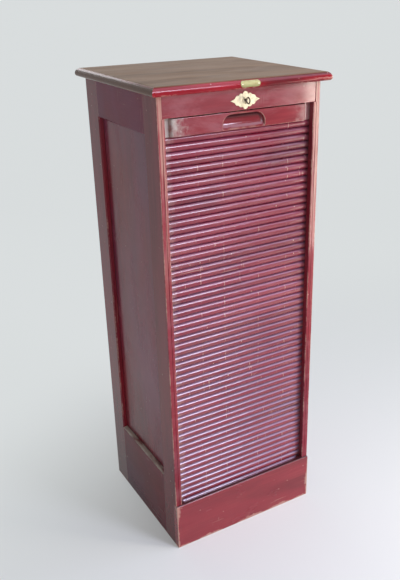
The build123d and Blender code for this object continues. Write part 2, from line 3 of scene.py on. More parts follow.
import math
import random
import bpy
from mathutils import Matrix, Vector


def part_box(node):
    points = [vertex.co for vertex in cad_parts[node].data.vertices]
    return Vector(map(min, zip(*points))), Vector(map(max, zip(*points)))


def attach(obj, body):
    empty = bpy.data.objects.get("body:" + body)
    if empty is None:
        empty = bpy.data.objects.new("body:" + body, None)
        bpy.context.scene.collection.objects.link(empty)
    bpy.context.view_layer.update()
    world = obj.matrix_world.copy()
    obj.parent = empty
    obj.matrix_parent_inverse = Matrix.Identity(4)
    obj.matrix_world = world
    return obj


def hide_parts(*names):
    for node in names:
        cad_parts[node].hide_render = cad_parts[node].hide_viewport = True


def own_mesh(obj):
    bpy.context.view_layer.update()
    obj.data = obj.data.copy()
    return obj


bl_info = {
    "name": "Tambour Filing Cabinet",
    "version": (1, 0, 0),
    "blender": (4, 5, 0),
    "location": "3D View > Sidebar > Cabinet",
    "description": "Finishes the cabinet's boards, makes its slatted shutter and sets up a plain stage",
    "category": "Object",
}

from dataclasses import dataclass, replace

import bpy
from bpy.props import FloatProperty, FloatVectorProperty, PointerProperty
from mathutils import Matrix, Vector

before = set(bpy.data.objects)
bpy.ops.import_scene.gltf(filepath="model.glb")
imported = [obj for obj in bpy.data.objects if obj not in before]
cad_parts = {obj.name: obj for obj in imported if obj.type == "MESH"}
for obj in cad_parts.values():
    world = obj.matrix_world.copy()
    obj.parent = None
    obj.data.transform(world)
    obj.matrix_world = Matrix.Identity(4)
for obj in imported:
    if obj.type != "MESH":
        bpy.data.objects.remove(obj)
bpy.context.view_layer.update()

slats_low, slats_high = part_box("tambour_slats")
canvas_low, canvas_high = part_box("canvas_backing")
lead_low, lead_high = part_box("lead_rail")


def colour(name, description, default):
    """A colour that the user may change."""
    return FloatVectorProperty(
        name=name, description=description, default=default, size=3, subtype="COLOR", min=0.0, max=1.0
    )


def length(name, description, default):
    """A length that the user may change."""
    return FloatProperty(
        name=name, description=description, default=default, unit="LENGTH", precision=4, min=0.0
    )


def amount(name, description, default):
    """A plain number that the user may change."""
    return FloatProperty(name=name, description=description, default=default, min=0.0)


class CabinetSizes(bpy.types.PropertyGroup):
    """Sizes of the pieces that are made here."""

    slat_pitch: length("Slat pitch", "From one slat to the next", 0.0162)
    slat_gap: length("Slat gap", "Between two slats", 0.0005)
    slat_edge: length("Slat edge", "Straight edge of a slat behind its round", 0.004)
    slat_wander: length("Slat wander", "How far a slat leaves its true line", 0.00022)
    weave: length("Weave", "From one thread of the canvas to the next", 0.0011)
    canvas_dip: length("Canvas dip", "How far the canvas sinks in behind a slat", 0.00018)
    rubbed_slat_end: length("Rubbed slat end", "How far the grooves have rubbed the slats", 0.030)
    rubbed_rail_end: length("Rubbed rail end", "How far the grooves have rubbed the lead rail", 0.062)
    # How far dirt and painted shade reach over a panel from its frame.
    dirt_and_shade_width: length("Dirt width", "How far dirt reaches over a panel from its frame", 0.005)
    pull_width: length("Pull width", "Width of the finger pull", 0.105)
    pull_height: length("Pull height", "Height of the finger pull", 0.030)
    pull_middle: length("Pull middle", "From the cabinet's middle to the finger pull's", 0.005)
    pull_foot: length("Pull foot", "From the lead rail's lower edge to the finger pull", 0.0025)


class CabinetColours(bpy.types.PropertyGroup):
    """Colours of the finishes."""

    case_dark: colour("Case dark", "Dark bands of the case's mahogany", (0.165, 0.010, 0.017))
    case_mid: colour("Case middle", "Main colour of the case's mahogany", (0.245, 0.017, 0.028))
    case_light: colour("Case light", "Pale streaks of the case's mahogany", (0.330, 0.036, 0.042))
    # The top's dark tone also paints shade in the finger pull's hollow.
    top_dark: colour("Top dark", "Dark bands of the top board", (0.170, 0.004, 0.010))
    top_mid: colour("Top middle", "Main colour of the top board", (0.330, 0.006, 0.015))
    top_light: colour("Top light", "Pale streaks of the top board", (0.460, 0.012, 0.024))
    # Also used as painted shade on the top's faces that look left.
    faded_dark: colour("Faded dark", "Dark bands of the top's upper face, gone brown", (0.150, 0.082, 0.042))
    faded_mid: colour("Faded middle", "Main colour of the top's upper face", (0.258, 0.150, 0.080))
    faded_light: colour("Faded light", "Pale streaks of the top's upper face", (0.345, 0.220, 0.124))
    slat_dark: colour("Slat dark", "Dark bands of the slats", (0.145, 0.008, 0.020))
    slat_mid: colour("Slat middle", "Main colour of the slats", (0.205, 0.011, 0.031))
    slat_light: colour("Slat light", "Pale streaks of the slats", (0.260, 0.026, 0.046))
    inside_dark: colour("Inside dark", "Dark bands of the wood inside", (0.150, 0.052, 0.024))
    inside_mid: colour("Inside middle", "Main colour of the wood inside", (0.270, 0.110, 0.052))
    inside_light: colour("Inside light", "Pale streaks of the wood inside", (0.400, 0.195, 0.098))
    # Worn varnish, and also a painted highlight on the front stiles high up, the finger pull's rim and the
    # rear stiles' front edges.
    bare_wood_and_highlight: colour("Bare wood", "Where the varnish is rubbed away", (0.520, 0.300, 0.235))
    # Wood rubbed by the grooves, and also a painted highlight that makes the left ends paler.
    rubbed_wood_and_highlight: colour("Grey wood", "Where the grooves have rubbed the shutter's ends", (0.440, 0.380, 0.340))
    # Old polish and dirt, and also painted shade in corners, valleys, the finger pull, on ledges and near the
    # floor.
    dirt_and_shade: colour("Dirt", "Old polish and dirt in corners", (0.030, 0.006, 0.008))
    # Partly bloom in the varnish, partly a painted reflection of cool surroundings.
    bloom_and_sheen: colour("Bloom", "Bluish haze in the side panels' varnish", (0.200, 0.130, 0.260))
    # A painted reflection: the pale veil that the varnish in front mirrors from the bright room.
    sheen: colour("Haze", "Dull film on the varnish in front", (0.700, 0.440, 0.480))
    dust: colour("Dust", "Dust on ledges", (0.560, 0.480, 0.400))
    # Dust on the slats, and also a painted lavender highlight on their upper faces.
    slat_dust_and_sheen: colour("Slat dust", "Dust on the slats", (0.510, 0.450, 0.720))
    brass: colour("Brass", "Clean brass", (0.700, 0.630, 0.460))
    dull_brass: colour("Dull brass", "Brass that is not polished", (0.330, 0.310, 0.150))
    tarnish: colour("Tarnish", "Old brass in the hollows", (0.330, 0.230, 0.100))
    steel: colour("Steel", "Clean steel", (0.480, 0.460, 0.440))
    steel_dark: colour("Dark steel", "Browned steel", (0.170, 0.140, 0.115))
    canvas: colour("Canvas", "Threads of the canvas", (0.560, 0.480, 0.350))
    canvas_dark: colour("Canvas dark", "Gaps of the weave, and glue that came through", (0.300, 0.225, 0.140))
    canvas_slub: colour("Canvas slub", "Thick threads of the canvas", (0.720, 0.660, 0.540))


class StageSettings(bpy.types.PropertyGroup):
    """The floor, the backdrop and the light."""

    floor: colour("Floor", "Floor and backdrop", (0.840, 0.860, 0.820))
    seen: colour("Backdrop", "The backdrop as it is seen", (0.710, 0.740, 0.745))
    sky: colour("Sky light", "Soft light from all round", (0.900, 0.940, 1.000))
    sky_strength: amount("Sky strength", "Strength of the light from all round", 0.20)
    window_power: amount("Window light", "Power of the cool light in front", 36.0)
    high_power: amount("High light", "Power of the cool light high in front", 38.0)
    low_power: amount("Low light", "Power of the cool light low in front", 1.0)
    edge_power: amount("Edge light", "Power of the narrow light beside the camera", 6.0)
    side_power: amount("Side light", "Power of the warm light on the right, which no varnish mirrors", 14.0)
    strip_power: amount("Strip light", "Power of the narrow warm light on the right", 5.5)
    fill_power: amount("Fill light", "Power of the plain light beside the camera", 3.0)
    back_power: amount("Back light", "Power of the plain light behind the cabinet", 9.0)
    lens: amount("Lens", "Focal length of the camera in millimetres", 45.63)


def sizes():
    return bpy.context.scene.cabinet_sizes


def full(value):
    """A colour with its alpha."""
    return (*value, 1.0)


def paint(name):
    """One of the finishes' colours, by its name."""
    return full(getattr(bpy.context.scene.cabinet_colours, name))


def add_object(name, data):
    """An object in the scene."""
    obj = bpy.data.objects.new(name, data)
    bpy.context.scene.collection.objects.link(obj)
    return obj


def fill(tree, node, links):
    """Gives a node's inputs their values, or links another node's output to them."""
    for socket, value in links.items():
        if isinstance(value, bpy.types.NodeSocket):
            tree.links.new(value, node.inputs[socket])
        else:
            node.inputs[socket].default_value = value


def put(tree, kind, links=None, **settings):
    """Adds a node to a tree."""
    node = tree.nodes.new(kind)
    for name, value in settings.items():
        setattr(node, name, value)
    fill(tree, node, links or {})
    return node


def maths(tree, operation, *values):
    return put(tree, "ShaderNodeMath", dict(enumerate(values)), operation=operation).outputs[0]


def times(tree, first, second):
    return maths(tree, "MULTIPLY", first, second)


def between(tree, value, other):
    """How far a value is from another, either way."""
    return maths(tree, "ABSOLUTE", maths(tree, "SUBTRACT", value, other))


def vectors(tree, operation, first, second):
    return put(tree, "ShaderNodeVectorMath", {0: first, 1: second}, operation=operation).outputs[0]


def span(tree, vector):
    """How long a vector is."""
    return put(tree, "ShaderNodeVectorMath", {0: vector}, operation="LENGTH").outputs["Value"]


def apart(tree, vector):
    """The three numbers of a vector."""
    return put(tree, "ShaderNodeSeparateXYZ", {0: vector}).outputs


def normal(tree):
    """The way that the surface looks, as three numbers."""
    return apart(tree, put(tree, "ShaderNodeNewGeometry").outputs["Normal"])


def own_place(tree):
    """A point's place in its object, which for a board is its place in the cabinet at rest."""
    return put(tree, "ShaderNodeTexCoord").outputs["Object"]


def kept(tree, name):
    """What a mesh keeps for each of its points under a name."""
    return put(tree, "ShaderNodeAttribute", attribute_name=name).outputs


def rise(tree, value, low, high):
    """Goes smoothly from 0 to 1 as a value goes from low to high."""
    links = {"Value": value, "From Min": low, "From Max": high}
    return put(tree, "ShaderNodeMapRange", links, interpolation_type="SMOOTHSTEP").outputs[0]


def fall(tree, value, low, high):
    """Goes smoothly from 1 to 0 as a value goes from low to high."""
    return maths(tree, "SUBTRACT", 1.0, rise(tree, value, low, high))


def cloud(tree, vector, waves, detail=2.0, roughness=0.5, distortion=0.0):
    """Noise with its own number of waves per metre on each axis."""
    links = {"Scale": 1.0, "Detail": detail, "Roughness": roughness, "Distortion": distortion}
    links["Vector"] = vectors(tree, "MULTIPLY", vector, waves)
    return put(tree, "ShaderNodeTexNoise", links).outputs[0]


def patches(tree, vector, waves, edge, **noise):
    """Patches of noise, which fade from 0 to 1 between the two values of their edge."""
    return rise(tree, cloud(tree, vector, waves, **noise), *edge)


def tint(tree, factor, first, second):
    """Goes from one colour to another."""
    return put(tree, "ShaderNodeMix", {0: factor, 6: first, 7: second}, data_type="RGBA").outputs[2]


def bump(tree, height, strength, distance):
    """A normal that follows a height."""
    links = {"Height": height, "Strength": strength, "Distance": distance}
    return put(tree, "ShaderNodeBump", links).outputs[0]


class Group:
    """A node group in the making. It takes a vector and named values, and gives a colour and masks."""

    def __init__(self, name, inputs, outputs):
        self.tree = bpy.data.node_groups.new(name, "ShaderNodeTree")
        self.socket("Vector", "INPUT", "NodeSocketVector")
        kinds = {3: "NodeSocketVector", 4: "NodeSocketColor"}
        for label, default in inputs.items():
            kind = kinds[len(default)] if isinstance(default, tuple) else "NodeSocketFloat"
            self.socket(label, "INPUT", kind).default_value = default
        for label in outputs:
            self.socket(label, "OUTPUT", "NodeSocketColor" if label == "Color" else "NodeSocketFloat")
        self.take = self.tree.nodes.new("NodeGroupInput").outputs
        self.ends = self.tree.nodes.new("NodeGroupOutput").inputs
        self.vector = self.take["Vector"]

    def socket(self, label, end, kind):
        return self.tree.interface.new_socket(label, in_out=end, socket_type=kind)

    def give(self, label, socket):
        self.tree.links.new(socket, self.ends[label])

    def inset(self):
        """How far a point is inside the box from Low to High, on each axis."""
        over = vectors(self.tree, "SUBTRACT", self.vector, self.take["Low"])
        under = vectors(self.tree, "SUBTRACT", self.take["High"], self.vector)
        return apart(self.tree, vectors(self.tree, "MINIMUM", over, under))


UNIT_BOX = {"Low": (0.0, 0.0, 0.0), "High": (1.0, 1.0, 1.0)}


def wood_figure():
    """Mahogany's bands, ribbons, streaks and pores. The grain runs along the vector's X."""
    tones = {"Dark": (0.1, 0.0, 0.0, 1.0), "Middle": (0.2, 0.0, 0.0, 1.0), "Light": (0.3, 0.0, 0.0, 1.0)}
    group = Group("Wood figure", {**tones, "Streaks": 0.3}, ("Color", "Height"))
    tree, take, vector = group.tree, group.take, group.vector
    bands = patches(tree, vector, (2.2, 13.0, 13.0), (0.30, 0.64), detail=3.0, roughness=0.55, distortion=0.7)
    ribbon = patches(tree, vector, (7.0, 48.0, 48.0), (0.40, 0.72), distortion=0.4)
    streaks = patches(tree, vector, (9.0, 240.0, 240.0), (0.48, 0.74), detail=3.0, roughness=0.6)
    pores = patches(tree, vector, (42.0, 820.0, 820.0), (0.60, 0.74), detail=1.0)
    ripple = cloud(tree, vector, (16.0, 26.0, 26.0), detail=1.0)
    shade = tint(tree, bands, take["Dark"], take["Middle"])
    shade = tint(tree, times(tree, ribbon, 0.25), shade, take["Light"])
    shade = tint(tree, times(tree, streaks, take["Streaks"]), shade, take["Light"])
    shade = tint(tree, times(tree, pores, 0.4), shade, take["Dark"])
    group.give("Color", shade)
    group.give("Height", maths(tree, "MULTIPLY_ADD", pores, -0.4, ripple))
    return tree


def rubbed_edges():
    """A mask along the edges of a board, broken up as worn varnish is."""
    group = Group("Rubbed edges", {**UNIT_BOX, "Width": 0.002}, ("Mask",))
    tree, vector = group.tree, group.vector
    near = group.inset()
    least = maths(tree, "MINIMUM", near[0], near[1])
    most = maths(tree, "MAXIMUM", near[0], near[1])
    edge = maths(tree, "MAXIMUM", least, maths(tree, "MINIMUM", most, near[2]))
    broad = patches(tree, vector, (11.0, 11.0, 11.0), (0.36, 0.66))
    fine = cloud(tree, vector, (130.0, 130.0, 130.0), detail=3.0, roughness=0.65)
    patch = maths(tree, "MULTIPLY_ADD", broad, 0.85, 0.15)
    nibble = maths(tree, "MULTIPLY_ADD", fine, 2.4, -0.4)
    local = times(tree, group.take["Width"], times(tree, patch, nibble))
    group.give("Mask", fall(tree, maths(tree, "DIVIDE", edge, local), 0.35, 1.0))
    return tree


def rubbed_ends():
    """A mask at the two ends of a piece along X, where it runs in the grooves."""
    group = Group("Rubbed ends", {"Half": 0.2, "Reach": 0.03}, ("Mask",))
    tree, take, vector = group.tree, group.take, group.vector
    inward = maths(tree, "SUBTRACT", take["Half"], maths(tree, "ABSOLUTE", apart(tree, vector)[0]))
    noise = cloud(tree, vector, (60.0, 60.0, 60.0), detail=3.0, roughness=0.6)
    ragged = maths(tree, "MULTIPLY_ADD", noise, 1.6, -0.8)
    share = maths(tree, "ADD", maths(tree, "DIVIDE", inward, take["Reach"]), ragged)
    group.give("Mask", fall(tree, share, 0.25, 1.0))
    return tree


def corner_dirt_and_shade():
    """A mask along the inner sides of an opening, broken up, for dirt and painted shade."""
    group = Group("Corner dirt", {**UNIT_BOX, "Width": 0.004}, ("Mask",))
    tree = group.tree
    near = group.inset()
    nearest = maths(tree, "MINIMUM", maths(tree, "MINIMUM", near[0], near[1]), near[2])
    noise = cloud(tree, group.vector, (40.0, 40.0, 25.0), detail=3.0, roughness=0.6)
    local = times(tree, group.take["Width"], maths(tree, "MULTIPLY_ADD", noise, 1.4, 0.3))
    group.give("Mask", fall(tree, maths(tree, "DIVIDE", nearest, local), 0.2, 1.0))
    return tree


def small_marks():
    """Scratches along and across the grain, and specks where the varnish is chipped."""
    group = Group("Small marks", {"Density": 0.5}, ("Scratches", "Specks"))
    tree, vector, density = group.tree, group.vector, group.take["Density"]
    lines = patches(tree, vector, (11.0, 420.0, 420.0), (0.70, 0.76), detail=1.0)
    ticks = patches(tree, vector, (380.0, 26.0, 26.0), (0.72, 0.78), detail=1.0)
    places = patches(tree, vector, (6.0, 6.0, 6.0), (0.46, 0.62))
    both = times(tree, maths(tree, "MAXIMUM", lines, ticks), places)
    group.give("Scratches", times(tree, both, density))
    cells = put(tree, "ShaderNodeTexVoronoi", {"Vector": vector, "Scale": 75.0}).outputs
    chance = put(tree, "ShaderNodeSeparateColor", {0: cells["Color"]}).outputs[0]
    few = maths(tree, "LESS_THAN", chance, times(tree, density, 0.16))
    group.give("Specks", times(tree, fall(tree, cells["Distance"], 0.06, 0.15), few))
    return tree


def settled_dust():
    """A mask on faces that look up, in patches."""
    group = Group("Settled dust", {"Level": 0.5, "Amount": 0.5}, ("Mask",))
    tree, take = group.tree, group.take
    facing = rise(tree, normal(tree)[2], take["Level"], 1.0)
    places = patches(tree, group.vector, (14.0, 40.0, 40.0), (0.28, 0.66), detail=4.0, roughness=0.65)
    group.give("Mask", times(tree, times(tree, facing, places), take["Amount"]))
    return tree


def handled_gloss():
    """Roughness that varies in smears, as polish does under hands and cloths."""
    group = Group("Handled gloss", {"Polished": 0.2, "Dull": 0.4}, ("Roughness",))
    tree, take = group.tree, group.take
    noise = {"detail": 4.0, "roughness": 0.6, "distortion": 0.5}
    smears = patches(tree, group.vector, (6.0, 17.0, 17.0), (0.34, 0.70), **noise)
    spread = maths(tree, "SUBTRACT", take["Dull"], take["Polished"])
    group.give("Roughness", maths(tree, "MULTIPLY_ADD", smears, spread, take["Polished"]))
    return tree


def old_metal():
    """Stains in patches, dents and fine brushing."""
    tones = {"Clean": (0.8, 0.7, 0.4, 1.0), "Stained": (0.3, 0.2, 0.1, 1.0)}
    group = Group("Old metal", {**tones, "Stain": 0.5, "Dullness": 0.4}, ("Color", "Roughness", "Height"))
    tree, take, vector = group.tree, group.take, group.vector
    blotches = patches(tree, vector, (150.0, 150.0, 150.0), (0.44, 0.70), detail=4.0, roughness=0.65)
    specks = patches(tree, vector, (900.0, 900.0, 900.0), (0.62, 0.76))
    brushing = cloud(tree, vector, (260.0, 2600.0, 2600.0))
    dents = cloud(tree, vector, (170.0, 170.0, 170.0), detail=1.0)
    stain = times(tree, maths(tree, "MAXIMUM", blotches, specks), take["Stain"])
    group.give("Color", tint(tree, stain, take["Clean"], take["Stained"]))
    group.give("Roughness", maths(tree, "MULTIPLY_ADD", stain, 0.25, take["Dullness"]))
    group.give("Height", maths(tree, "MULTIPLY_ADD", brushing, 0.05, dents))
    return tree


GROUPS = {
    "Wood figure": wood_figure,
    "Rubbed edges": rubbed_edges,
    "Rubbed ends": rubbed_ends,
    "Corner dirt": corner_dirt_and_shade,
    "Small marks": small_marks,
    "Settled dust": settled_dust,
    "Handled gloss": handled_gloss,
    "Old metal": old_metal,
}


def place(tree, label, links):
    """Puts a shared node group, built at its first use, into a material with its own values."""
    group = bpy.data.node_groups.get(label) or GROUPS[label]()
    return put(tree, "ShaderNodeGroup", links, node_tree=group).outputs


def new_material(name):
    """A material with an empty Principled shader."""
    material = bpy.data.materials.new(name)
    material.use_nodes = True
    tree = material.node_tree
    tree.nodes.clear()
    shader = put(tree, "ShaderNodeBsdfPrincipled")
    put(tree, "ShaderNodeOutputMaterial", {"Surface": shader.outputs[0]})
    return material, tree, shader


@dataclass
class Finish:
    """How one kind of board is finished.

    The varnish is between polished and dull in roughness, with a clear coat and a shine. Its edges are worn
    over a width. The other numbers say how strong each effect is, and the figure's pale streaks."""

    tones: str
    polished: float = 0.16
    dull: float = 0.28
    coat: float = 0.25
    wear: float = 0.0
    width: float = 0.003
    marks: float = 0.5
    dust: float = 0.0
    bloom_and_sheen: float = 0.0
    sheen: float = 0.0
    smoke_and_shade: float = 0.0
    low_shade: float = 0.0
    handling_and_highlight: float = 0.0
    streaks: float = 0.22
    shine: float = 0.5


GRAIN_TURNS = {"X": (0.0, 0.0, 0.0), "Y": (0.0, 0.0, -math.pi / 2), "Z": (0.0, math.pi / 2, 0.0)}


class Wood:
    """A varnished wood in the making. Each call lays one more effect over the figure."""

    def __init__(self, name, grain, finish, rest=None):
        self.finish = finish
        self.material, self.tree, self.shader = new_material(name)
        self.here = kept(self.tree, rest)["Vector"] if rest else own_place(self.tree)
        aside = tuple(random.uniform(0.0, 9.0) for _ in range(3))
        turn = {"Vector": self.here, "Rotation": GRAIN_TURNS[grain], "Location": aside}
        self.along = put(self.tree, "ShaderNodeMapping", turn).outputs[0]
        figure = self.figure(finish.tones)
        self.shade = figure["Color"]
        self.height = figure["Height"]
        gloss = {"Vector": self.along, "Polished": finish.polished, "Dull": finish.dull}
        self.rough = place(self.tree, "Handled gloss", gloss)["Roughness"]
        self.coat = finish.coat

    def figure(self, tones):
        """The wood's figure in three tones."""
        links = {"Vector": self.along, "Streaks": self.finish.streaks}
        for label, part in (("Dark", "dark"), ("Middle", "mid"), ("Light", "light")):
            links[label] = paint(f"{tones}_{part}")
        return place(self.tree, "Wood figure", links)

    def cover(self, mask, strength, shade, dulling=0.3):
        """Lays a colour over part of the surface and dulls it there."""
        share = times(self.tree, mask, strength)
        self.shade = tint(self.tree, share, self.shade, shade)
        if dulling:
            self.rough = maths(self.tree, "MULTIPLY_ADD", share, dulling, self.rough)

    def mark(self):
        """Scratches and chips."""
        marks = place(self.tree, "Small marks", {"Vector": self.along, "Density": self.finish.marks})
        self.cover(marks["Scratches"], 0.55, paint("bare_wood_and_highlight"))
        self.cover(marks["Specks"], 0.7, paint("bare_wood_and_highlight"))
        self.height = maths(self.tree, "MULTIPLY_ADD", marks["Scratches"], -0.6, self.height)

    def rub(self, low, high):
        """Worn edges."""
        links = {"Vector": self.here, "Low": low, "High": high, "Width": self.finish.width}
        mask = place(self.tree, "Rubbed edges", links)["Mask"]
        self.cover(mask, self.finish.wear, paint("bare_wood_and_highlight"))

    def rub_and_light_ends(self, half, reach, strength):
        """Ends that the grooves have rubbed, the left one paler than the right one by a painted highlight."""
        links = {"Vector": self.here, "Half": half, "Reach": reach}
        mask = place(self.tree, "Rubbed ends", links)["Mask"]
        left = maths(self.tree, "LESS_THAN", apart(self.tree, self.here)[0], 0.0)
        side = maths(self.tree, "MULTIPLY_ADD", left, 0.75, 0.25)
        self.cover(times(self.tree, mask, side), strength, paint("rubbed_wood_and_highlight"), 0.0)

    def dust(self, level, shade):
        """Dust on what looks up; on the slats its lavender tone is also a painted highlight."""
        links = {"Vector": self.along, "Level": level, "Amount": self.finish.dust}
        self.cover(place(self.tree, "Settled dust", links)["Mask"], 1.0, paint(shade), 0.2)

    def soil_and_shade(self, low, high, width):
        """Dirt and painted shade along the sides of an opening."""
        links = {"Vector": self.here, "Low": low, "High": high, "Width": width}
        self.cover(place(self.tree, "Corner dirt", links)["Mask"], 0.8, paint("dirt_and_shade"), 0.2)

    def patches(self, waves, edge, **noise):
        """Patches that do not follow the grain."""
        return patches(self.tree, self.here, waves, edge, **noise)

    def forward(self):
        """A mask on faces that look forward."""
        return fall(self.tree, normal(self.tree)[1], -0.9, -0.4)

    def upward(self, low, high):
        """A mask on faces that look up."""
        return rise(self.tree, normal(self.tree)[2], low, high)

    def bloom_and_sheen(self):
        """Bluish clouds in the varnish: partly bloom in the old varnish, partly a painted reflection of cool
        surroundings.
        """
        clouds = self.patches((5.0, 5.0, 3.0), (0.30, 0.70), detail=3.0, roughness=0.55)
        self.cover(clouds, self.finish.bloom_and_sheen, paint("bloom_and_sheen"), 0.03)

    def sheen(self):
        """A pale sheen on faces that look forward, in smudges: a painted reflection, with the varnish a
        little duller there.
        """
        smudges = self.patches((9.0, 9.0, 22.0), (0.38, 0.70), detail=4.0, roughness=0.6, distortion=0.4)
        self.cover(times(self.tree, self.forward(), smudges), self.finish.sheen, paint("sheen"), 0.05)

    def smoke_and_shade(self):
        """Dark clouds of old polish; on the side rails they are also painted shade."""
        clouds = self.patches((3.0, 1.0, 9.0), (0.52, 0.72), detail=3.0, roughness=0.6)
        self.cover(clouds, self.finish.smoke_and_shade, paint("dirt_and_shade"), 0.1)

    def low_shade(self):
        """Painted shade near the floor on faces that look sideways."""
        sideways = rise(self.tree, maths(self.tree, "ABSOLUTE", normal(self.tree)[0]), 0.4, 0.9)
        low = fall(self.tree, apart(self.tree, self.here)[2], 0.05, 0.45)
        self.cover(times(self.tree, sideways, low), self.finish.low_shade, paint("dirt_and_shade"), 0.0)

    def handling_and_highlight(self):
        """Pale upright streaks high up on faces that look forward: varnish rubbed thin by hands, and a
        painted highlight.
        """
        high = rise(self.tree, apart(self.tree, self.here)[2], 0.55, 1.05)
        streaks = self.patches((230.0, 1.0, 7.0), (0.35, 0.65), detail=3.0, roughness=0.6)
        mask = times(self.tree, self.forward(), times(self.tree, high, streaks))
        self.cover(mask, self.finish.handling_and_highlight, paint("bare_wood_and_highlight"), 0.05)

    def vary_coat(self, mask, outside, inside):
        """Gives the coat of varnish one weight outside a mask and another inside it."""
        self.coat = maths(self.tree, "MULTIPLY_ADD", mask, inside - outside, outside)

    def done(self):
        """Gives the shader what was laid up."""
        links = {
            "Base Color": self.shade,
            "Roughness": self.rough,
            "Normal": bump(self.tree, self.height, 0.3, 0.0003),
            "Specular IOR Level": self.finish.shine,
            "Coat Weight": self.coat,
            "Coat Roughness": 0.06,
        }
        fill(self.tree, self.shader, links)
        return self.material


def dress(node, material):
    """Gives a CAD node a material."""
    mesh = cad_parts[node].data
    mesh.materials.clear()
    mesh.materials.append(material)


def board_ends(node, joined):
    """A board's corners for its worn edges, moved well away on the sides where another board joins it."""
    low, high = (list(corner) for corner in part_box(node))
    for side in joined.split():
        axis = "XYZ".index(side[1])
        if side[0] == "-":
            low[axis] -= 1.0
        else:
            high[axis] += 1.0
    return low, high


def finish_board(node, grain, finish, joined="", opening=None):
    """Finishes one CAD board. A panel has dirt and painted shade along the opening that it is seen in."""
    wood = Wood(node.replace("_", " ") + " wood", grain, finish)
    for effect in ("bloom_and_sheen", "sheen", "smoke_and_shade", "low_shade", "handling_and_highlight"):
        if getattr(finish, effect):
            getattr(wood, effect)()
    wood.mark()
    if finish.wear:
        wood.rub(*board_ends(node, joined))
    if finish.dust:
        wood.dust(0.15, "dust")
    if opening:
        wood.soil_and_shade(*opening, sizes().dirt_and_shade_width)
    dress(node, wood.done())


class CABINET_OT_top_board(bpy.types.Operator):
    """Finishes the top board, which is red at its edge and has gone brown on its upper face"""

    bl_idname = "cabinet.top_board"
    bl_label = "Top Board"

    def execute(self, context):
        look = Finish("top", polished=0.10, dull=0.18, wear=0.75, width=0.0042, marks=0.6, shine=0.07)
        wood = Wood("top board wood", "X", look)
        # Painted shade in streaks towards the top's right end, where its edge mirrors darker surroundings.
        right = rise(wood.tree, apart(wood.tree, wood.here)[0], -0.02, 0.08)
        streaks = wood.patches((9.0, 9.0, 90.0), (0.30, 0.60), detail=3.0, roughness=0.6)
        wood.cover(times(wood.tree, right, streaks), 0.65, paint("dirt_and_shade"), 0.0)
        # Painted shade on the faces that look left.
        left = fall(wood.tree, normal(wood.tree)[0], -0.85, -0.25)
        wood.cover(left, 0.85, paint("faded_dark"), 0.1)
        faded = wood.upward(0.80, 0.97)
        wood.cover(faded, 1.0, wood.figure("faded")["Color"], 0.24)
        wood.mark()
        wood.rub(*board_ends("top_board", "-X +Y +Z"))
        wood.vary_coat(faded, outside=0.3, inside=0.0)
        dress("top_board", wood.done())
        return {"FINISHED"}


class CABINET_OT_side_frames(bpy.types.Operator):
    """Finishes the stiles, rails and panels of both sides"""

    bl_idname = "cabinet.side_frames"
    bl_label = "Side Frames"

    def execute(self, context):
        # Painted shade darkens the side frames near the floor.
        case = Finish("case", low_shade=0.45)
        # On the stiles the bluish clouds are partly bloom and partly a painted reflection.
        stiles = replace(case, polished=0.09, dull=0.18, wear=0.7, width=0.0036, bloom_and_sheen=0.06, shine=0.13)
        # On the front stiles the pale veil in front is a painted reflection, and the pale streaks high up are
        # hand wear with a painted highlight.
        fronts = replace(stiles, sheen=0.08, handling_and_highlight=0.75)
        # On the side rails the dark clouds are painted shade, and the bluish clouds are partly a painted
        # reflection.
        rails = replace(case, coat=0.0, dust=1.5, wear=0.6, bloom_and_sheen=0.30, smoke_and_shade=0.5, shine=0.10)
        # On the panels the bluish clouds are partly a painted reflection, and the darkening near the floor is
        # painted shade.
        panels = replace(
            case, polished=0.18, dull=0.32, coat=0.08, streaks=0.3, bloom_and_sheen=0.28, low_shade=0.35, shine=0.24
        )
        for side, inward in (("left", "+X"), ("right", "-X")):
            finish_board(f"{side}_front_stile", "Z", fronts, "+Y +Z -Z")
            # The rear stiles' worn edges towards the front are also a painted highlight.
            finish_board(f"{side}_rear_stile", "Z", stiles, f"{inward} +Z")
            finish_board(f"{side}_top_rail", "Y", rails, f"{inward} +Y -Y +Z -Z")
            finish_board(f"{side}_bottom_rail", "Y", rails, f"{inward} +Y -Y +Z")
            finish_board(f"{side}_panel", "Z", panels, opening=self.opening(side))
        return {"FINISHED"}

    def opening(self, side):
        """The opening between a side's stiles and rails."""
        front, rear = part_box(f"{side}_front_stile")[1].y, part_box(f"{side}_rear_stile")[0].y
        foot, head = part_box(f"{side}_bottom_rail")[1].z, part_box(f"{side}_top_rail")[0].z
        return (-1.0, front, foot), (1.0, rear, head)


class CABINET_OT_front_boards(bpy.types.Operator):
    """Finishes the lock rail and the plinth"""

    bl_idname = "cabinet.front_boards"
    bl_label = "Lock Rail and Plinth"

    def execute(self, context):
        # The lock rail's pale veil in front is a painted reflection.
        rail = Finish(
            "case", polished=0.07, dull=0.16, wear=0.4, width=0.002, marks=0.6, sheen=0.12, smoke_and_shade=0.35
        )
        finish_board("lock_rail", "X", rail, "+X -X +Z +Y")
        look = Finish("case", dull=0.30, wear=0.7, width=0.015, marks=1.6, streaks=0.35, smoke_and_shade=0.3)
        plinth = Wood("plinth board wood", "X", look)
        plinth.smoke_and_shade()
        plinth.mark()
        plinth.rub(*board_ends("plinth_board", "+Y +Z"))
        # Painted shadow on the ledge above the plinth.
        plinth.cover(plinth.upward(0.55, 0.95), 0.85, paint("dirt_and_shade"), 0.2)
        dress("plinth_board", plinth.done())
        return {"FINISHED"}


